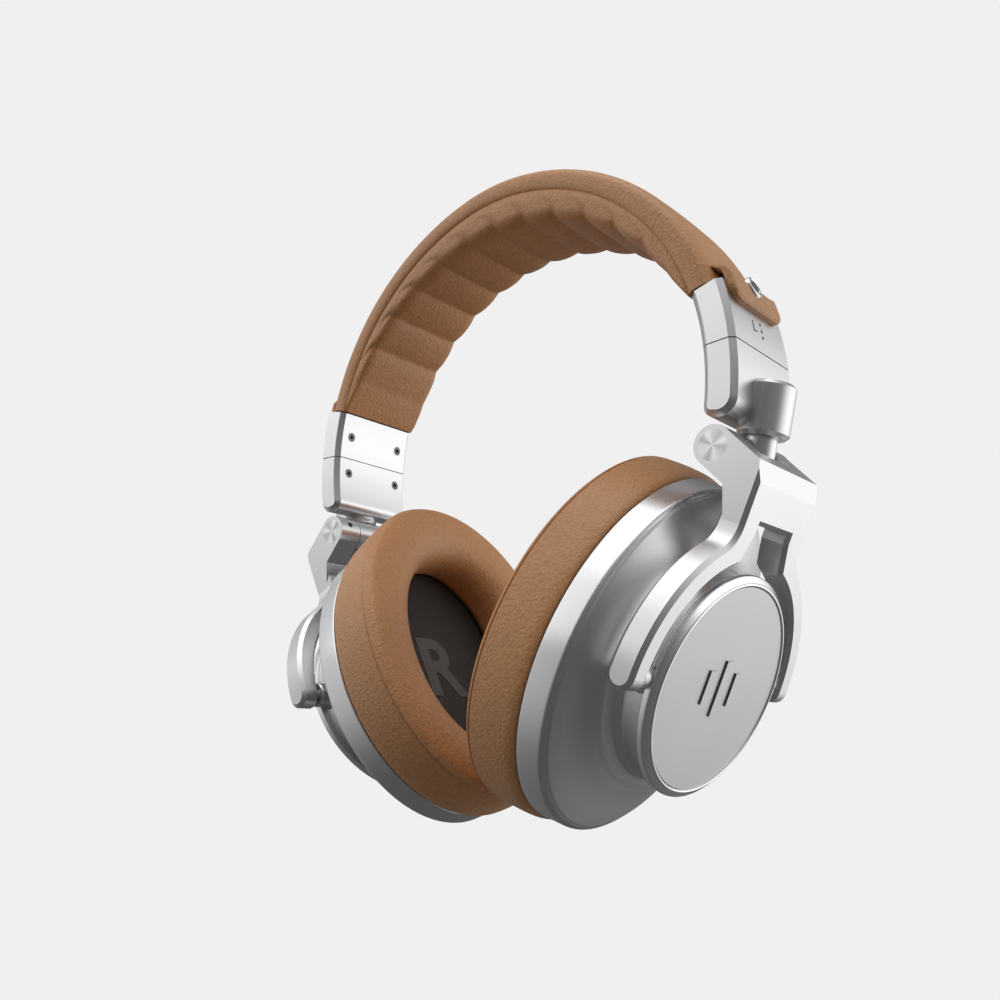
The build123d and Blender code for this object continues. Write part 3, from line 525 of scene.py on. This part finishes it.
def make_cup(side):
    bowl = rounded_path(BOWL_PROFILE, BOWL_ROUND)
    cup_piece(side, "bowl", bowl, SATIN, "cup_shell")
    rim = rounded_path(RIM_PROFILE, RIM_ROUND)
    cup_piece(side, "rim_band", rim, RIM_SATIN, "cup_rim")
    ring = rounded_path(CAP_RING_PROFILE, CAP_RING_ROUND, steps=4)
    cup_piece(side, "cap_bezel", ring, BRIGHT, "cap_ring")
    make_cap_disc(side)
    make_bosses(side)


CUSHION_PROFILE = [
    (-27.75, 38.6, 48.6), (-27.75, 40.7, 50.7), (-29.6, 41.5, 52.0), (-36.0, 41.9, 52.9), (-42.5, 42.0, 53.1),
    (-42.9, 41.5, 52.6), (-43.3, 42.1, 53.2), (-45.4, 40.4, 51.6), (-46.6, 36.2, 47.4), (-46.0, 29.0, 40.0),
    (-43.2, 24.4, 34.9), (-38.0, 23.0, 33.4), (-31.0, 24.0, 34.6), (-28.6, 27.0, 37.5),
]
CUSHION_ROUND = [0.8, 0.8, 1.8, 3.0, 0.15, 0.12, 0.6, 1.8, 3.6, 4.0, 4.0, 3.0, 1.6, 1.2]
SEWN_DEPTH = -29.2
PADDING_REACH = 0.7
PADDING_FRAMES = 20


def plump(piece, held):
    """Lets the padding press the leather outward a little, while the sewn edges stay put."""
    mesh, scene = piece.data, bpy.context.scene
    start = np.array([v.co for v in mesh.vertices])
    sewn = piece.vertex_groups.new(name="sewn")
    sewn.add([int(i) for i in held], 1.0, "REPLACE")
    cloth = piece.modifiers.new("padding", "CLOTH")
    cloth.settings.quality = 4
    cloth.settings.vertex_group_mass = "sewn"
    cloth.settings.use_pressure = True
    cloth.settings.uniform_pressure_force = 4.0
    cloth.settings.effector_weights.gravity = 0.0
    cloth.collision_settings.use_collision = False
    cloth.point_cache.frame_start = 1
    cloth.point_cache.frame_end = PADDING_FRAMES
    for step in range(1, PADDING_FRAMES + 1):
        scene.frame_set(step)
    pressed = piece.evaluated_get(bpy.context.evaluated_depsgraph_get()).data
    moved = np.array([v.co for v in pressed.vertices]) - start
    length = np.linalg.norm(moved, axis=1, keepdims=True)
    moved *= np.minimum(1.0, PADDING_REACH * MM / np.maximum(length, 1e-9))
    piece.modifiers.remove(cloth)
    piece.vertex_groups.clear()
    mesh.vertices.foreach_set("co", (start + moved).ravel())
    mesh.update()
    scene.frame_set(1)


def make_cushions():
    """The leather ring pads: padded on the left side and mirrored for the right."""
    profile = rounded_path(CUSHION_PROFILE, CUSHION_ROUND, steps=3)
    vertices, faces = turned(profile, steps=96)
    held = np.nonzero(vertices[:, 0] > SEWN_DEPTH)[0]
    left = add_piece("left_cushion_leather", vertices, faces, LEATHER, CUP_FRAME, sharp=math.radians(60))
    outward_normals(left)
    plump(left, held)
    mesh = left.data.copy()
    mesh.transform(MIRROR)
    mesh.flip_normals()
    right = link(bpy.data.objects.new("right_cushion_leather", mesh))
    for side, piece in (("left", left), ("right", right)):
        smooth = piece.modifiers.new("smooth", "SUBSURF")
        smooth.levels = smooth.render_levels = 1
        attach(piece, f"{side}_cup")
        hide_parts(f"{side}_ear_cushion")


# ---- headband leather ----
BAND_END = math.radians(15.15)
CREASE = -4.0
PAD_HALF = 16.2
TUCK_PITCH = 14.5
TUCK_DEPTH = 1.25
TUCK_FADE = 22.0        # length at each end over which the tucks die out
TUCK_SLANT = 7.0        # how far a tuck leans along the band as it climbs the pad's side
TUCK_FLAT_HALF = 11.0   # half the width over which a tuck keeps its full depth
TUCK_NARROWING = 0.028
UNDER_END = 6.6
PAD_TAPER = 18.0
PAD_CLOSING = 3.0
PAD_LIFT = 2.2
BAND_GAP = 0.15
crown_length = CROWN_RADIUS * JOIN_ANGLE
side_length = SIDE_RADIUS * (math.pi / 2 - JOIN_ANGLE - BAND_END)
half_length = crown_length + side_length


def band_place(s):
    """The band's edge line at a length from the crown: its point and its outward direction."""
    side = math.copysign(1, s)
    s = abs(s)
    if s <= crown_length:
        a = s / CROWN_RADIUS
        x, z = CROWN_RADIUS * math.sin(a), crown_z + CROWN_RADIUS * math.cos(a)
    else:
        a = JOIN_ANGLE + (s - crown_length) / SIDE_RADIUS
        x, z = side_x + SIDE_RADIUS * math.sin(a), side_z + SIDE_RADIUS * math.cos(a)
    return np.array((side * x, z)), np.array((side * math.sin(a), math.cos(a)))


def under_circle():
    """The arc of the pad's underside, as its centre height and radius."""
    point, out = band_place(half_length)
    x, z = point - UNDER_END * out
    radius = (x * x + z * z) / (-2 * z)
    return -radius, radius


def under_offset(s):
    """How far the underside lies inside the edge line."""
    centre_z, radius = under_circle()
    point, out = band_place(s)
    rel = point - np.array((0, centre_z))
    along = rel @ out
    return -(along - math.sqrt(max(0.0, along**2 - rel @ rel + radius**2)))


def band_loft(name, section, stations, material):
    """A closed skin along the band; section(s) gives (offset, y) points of one loop."""
    vertices, faces = [], []
    for s in stations:
        point, out = band_place(s)
        for offset, y in section(s):
            x, z = point + offset * out
            vertices.append((x, y, z))
    count = len(vertices) // len(stations)
    for i in range(len(stations) - 1):
        for k in range(count):
            m = (k + 1) % count
            faces.append((i * count + k, i * count + m, (i + 1) * count + m, (i + 1) * count + k))
    faces.append(tuple(range(count)))
    faces.append(tuple(range(len(vertices) - 1, len(vertices) - count - 1, -1)))
    piece = add_piece(name, vertices, faces, material, sharp=math.radians(50))
    outward_normals(piece)
    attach(piece, "headband")
    return piece


COVER_EDGE = [
    (3.8, 7.0), (3.6, 13.4), (2.2, 16.3), (-1.4, 16.85), (CREASE + 0.3, 16.3), (CREASE - 0.1, 15.2), (1.0, 14.6),
]
COVER_ROUND = [0.4, 0.5, 0.9, 2.4, 2.2, 2.4, 3.0]
COVER_CROWN = 3.9
COVER_LINING = 2.2


def cover_section(_):
    """The outer leather: a low crown rolling over both edges and tucked in at the crease."""
    far_edge = [(offset, -y) for offset, y in COVER_EDGE[::-1]]
    loop = far_edge + [(COVER_CROWN, 0.0)] + COVER_EDGE + [(COVER_LINING, 0.0)]
    return rounded_path(loop, COVER_ROUND + [3.0] + COVER_ROUND[::-1] + [2.0], steps=4)


def eased(t):
    """A smooth start and finish for something that goes from 0 to 1."""
    return t * t * (3 - 2 * t)


def tuck(s):
    """Depth of the stitched tucks across the underside, fading out towards the ends."""
    fade = min(1.0, max(0.0, (half_length - abs(s)) / TUCK_FADE - 0.25))
    wave = abs(math.sin(math.pi * s / TUCK_PITCH))
    return fade * TUCK_DEPTH * (1 - wave) ** 1.25


def pad_section(s):
    """The crown pad: rounded over both edges, tucked across, thinning to nothing at the end blocks."""
    from_end = half_length - abs(s)
    full = min(1.0, from_end / PAD_TAPER)
    under = under_offset(s) + PAD_LIFT * (1 - full) ** 2
    thick = CREASE - under
    closing = min(1.0, from_end / PAD_CLOSING)
    half = PAD_HALF - 0.7 * (1 - closing)
    corner = min(7.5, 0.7 * thick)
    edge = [
        (under, half), (CREASE - 0.22 * thick, half + 0.35), (CREASE + 0.35, half - 0.25), (CREASE + 1.2, 14.7),
    ]
    far_edge = [(offset, -y) for offset, y in edge[::-1]]
    loop = far_edge + [(under - 0.5 * closing, 0.0)] + edge
    section = []
    for offset, y in rounded_path(loop, [0, 0.6, 2.2, corner, 6, corner, 2.2, 0.6, 0], steps=8):
        depth = eased(min(1.0, max(0.0, (CREASE - 0.12 * thick - offset) / (0.65 * thick))))
        pulled = depth * tuck(s + TUCK_SLANT * (1 - depth))
        near_edge = max(0.0, (abs(y) - TUCK_FLAT_HALF) / 6.0)
        section.append((offset + (1 - 0.35 * near_edge) * pulled, y * (1 - TUCK_NARROWING * pulled)))
    return np.array(section)


def make_band():
    """The headband's outer leather and the tucked pad under it."""
    ends = half_length - BAND_GAP
    cover = band_loft("band_leather", cover_section, np.linspace(-ends, ends, 181), LEATHER)
    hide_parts("headband_cover")
    pad = band_loft("crown_pad_leather", pad_section, np.linspace(-ends, ends, 361), LEATHER)
    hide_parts("headband_padding")


FLAP_HALF = 13.4
FLAP_REACH = 5.6
FLAP_LIFT = 5.85        # its underside above the edge line, over the block
FLAP_ROOT = 6.5         # how far it starts inside the band's own leather
FLAP_ROOT_LIFT = 2.9
FLAP_CLIMB = 0.46
FLAP_CORNER = 4.0
FLAP_SHOULDER = 3.2


def make_flap(side):
    """The leather tongue over the end block: a doubled edge with a rounded end."""
    sign = 1 if side == "left" else -1
    columns = np.linspace(-1, 1, 41)
    rows = np.linspace(0, 1, 19)
    vertices, faces = [], []
    for layer in (1, 0):
        for row in rows:
            climb = eased(min(1.0, row / FLAP_CLIMB))
            rise = FLAP_ROOT_LIFT + (FLAP_LIFT - FLAP_ROOT_LIFT) * climb
            for column in columns:
                y = column * FLAP_HALF
                round_off = max(0.0, abs(y) - (FLAP_HALF - FLAP_CORNER)) / FLAP_CORNER
                reach = FLAP_REACH - FLAP_SHOULDER * (1 - math.sqrt(max(0.0, 1 - round_off**2)))
                s = half_length - FLAP_ROOT + row * (FLAP_ROOT + reach)
                edge = max(0.0, (abs(column) - 0.93) / 0.07) + max(0.0, (row - 0.93) / 0.07)
                thick = (0.5 + 1.5 * climb) * (1 - 0.35 * min(1.0, edge) ** 2)
                point, out = band_place(sign * s)
                x, z = point + (rise + layer * thick) * out
                vertices.append((x, y, z))
    wide, high = len(columns), len(rows)
    size = wide * high
    for i in range(high - 1):
        for k in range(wide - 1):
            a = i * wide + k
            faces.append((a, a + 1, a + wide + 1, a + wide))
            faces.append((size + a + wide, size + a + wide + 1, size + a + 1, size + a))
    rim = [*range(wide), *(i * wide + wide - 1 for i in range(1, high))]
    rim += [*(size - 1 - k for k in range(1, wide)), *(i * wide for i in range(high - 2, 0, -1))]
    for a, b in zip(rim, rim[1:] + rim[:1]):
        faces.append((a, b, size + b, size + a))
    piece = add_piece(f"{side}_flap_leather", vertices, faces, LEATHER, sharp=math.radians(70))
    outward_normals(piece)
    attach(piece, "headband")


def block_matrix(sign, s, lift):
    """A frame on the band's outside: +Z out of it, +Y up the band, +X to the reader's right."""
    point, out = band_place(sign * s)
    x, z = point + lift * out
    normal = Vector((out[0], 0, out[1]))
    cross = Vector((0, sign, 0))
    along = normal.cross(cross)
    return Matrix((
        (cross.x * MM, along.x * MM, normal.x * MM, x * MM),
        (cross.y * MM, along.y * MM, normal.y * MM, 0),
        (cross.z * MM, along.z * MM, normal.z * MM, z * MM),
        (0, 0, 0, 1),
    ))


RIVET_RING = [(3.3, -0.4), (3.3, 0.35), (3.05, 0.75), (2.65, 0.9), (2.35, 0.75), (2.25, 0.3), (0.4, 0.2)]
RIVET_BUTTON = [(2.2, 0.0), (2.2, 0.35), (1.9, 0.62), (1.2, 0.78), (0.3, 0.82)]
RIVET_FROM_END = 1.2
RIVET_SEAT = 1.65


def make_rivets():
    """A bright ring with a dark button through each flap."""
    for side in SIDES:
        sign = 1 if side == "left" else -1
        matrix = block_matrix(sign, half_length - RIVET_FROM_END, FLAP_LIFT + RIVET_SEAT)
        for name, profile in (("rivet_ring", RIVET_RING), ("rivet_button", RIVET_BUTTON)):
            slot = "bright_silver" if name == "rivet_ring" else "dark_steel"
            vertices, faces = lathe(profile)
            piece = add_piece(f"{side}_{name}", vertices, faces, SLOT_FINISH[slot], matrix)
            outward_normals(piece)
            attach(piece, "headband")
            if name == "rivet_ring" and side == "left":
                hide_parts("flap_rivets")


def letter_mesh(name, letter, size, weight, depth):
    """One plain capital as a thin raised mesh, from Blender's own font."""
    curve = bpy.data.curves.new(f"{name}_outline", "FONT")
    curve.body = letter
    curve.size = size
    curve.align_x = curve.align_y = "CENTER"
    curve.offset = weight
    curve.extrude = depth
    outline = bpy.data.objects.new(f"{name}_outline", curve)
    mesh = bpy.data.meshes.new_from_object(outline)
    bpy.data.objects.remove(outline)
    bpy.data.curves.remove(curve)
    mesh.name = name
    mesh.materials.clear()
    return mesh


def add_letter(name, mesh, material, body):
    mesh.materials.append(material)
    piece = link(bpy.data.objects.new(name, mesh))
    outward_normals(piece)
    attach(piece, body)


def make_letter(side):
    """A plain side letter printed on the driver cloth."""
    mesh = letter_mesh(f"{side}_letter", side[0].upper(), 28.0, 0.8, 0.06)
    across = -1 if side == "left" else 1
    place = Matrix(((0, 0, -1, -28.42), (across, 0, 0, 0), (0, 1, 0, -2.0), (0, 0, 0, 1)))
    mesh.transform(CUP_FRAME @ place)
    if side == "right":
        mesh.transform(MIRROR)
    add_letter(f"{side}_letter", mesh, PRINT, f"{side}_cup")


BLOCK_FACE = 5.8
LETTER_DROP = 9.9
DOT_DROP = 8.2
DOT_PITCH = 1.8
DOT_PROFILE = [(0.62, -0.2), (0.6, 0.12), (0.45, 0.34), (0.22, 0.44), (0.05, 0.47)]


def make_side_marks(side):
    """A small side letter and three raised dots on the outside of the end block."""
    sign = 1 if side == "left" else -1
    mesh = letter_mesh(f"{side}_block_letter", side[0].upper(), 4.6, 0.0, 0.04)
    mesh.transform(block_matrix(sign, half_length + LETTER_DROP, BLOCK_FACE + 0.03) @ Matrix.Translation((-2.6, 0, 0)))
    add_letter(f"{side}_block_letter", mesh, DARK_STEEL, "headband")
    for index in range(3):
        vertices, faces = lathe(DOT_PROFILE, 20)
        drop = half_length + DOT_DROP + DOT_PITCH * index
        matrix = block_matrix(sign, drop, BLOCK_FACE) @ Matrix.Translation((1.6, 0, 0))
        piece = add_piece(f"{side}_dot_{index + 1}", vertices, faces, SATIN, matrix)
        outward_normals(piece)
        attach(piece, "headband")


# ---- assembling ----
WORN_EDGE = 0.14

make_camera()
make_studio()
slots = {s["node"]: s["material_slot"] for s in frame["record"]["subparts"]}
for node_name, node in frame["nodes"].items():
    finish = SLOT_FINISH[slots[node_name]]
    # the fold pins take the spun metal, whose bright and dark fans are painted highlights and painted shade
    if node_name.endswith("fold_pin"):
        finish = SPUN
    if node_name.endswith("cap_emblem"):
        finish = CAP_SATIN
    node.data.materials.clear()
    node.data.materials.append(finish)
    if finish is SATIN:
        worn = node.modifiers.new("worn_edges", "BEVEL")
        worn.width = WORN_EDGE * MM
        worn.segments = 2
        worn.limit_method = "ANGLE"
        worn.angle_limit = math.radians(25)
for side in SIDES:
    make_cup(side)
    make_letter(side)
    make_side_marks(side)
    make_flap(side)
make_cushions()
make_band()
make_rivets()
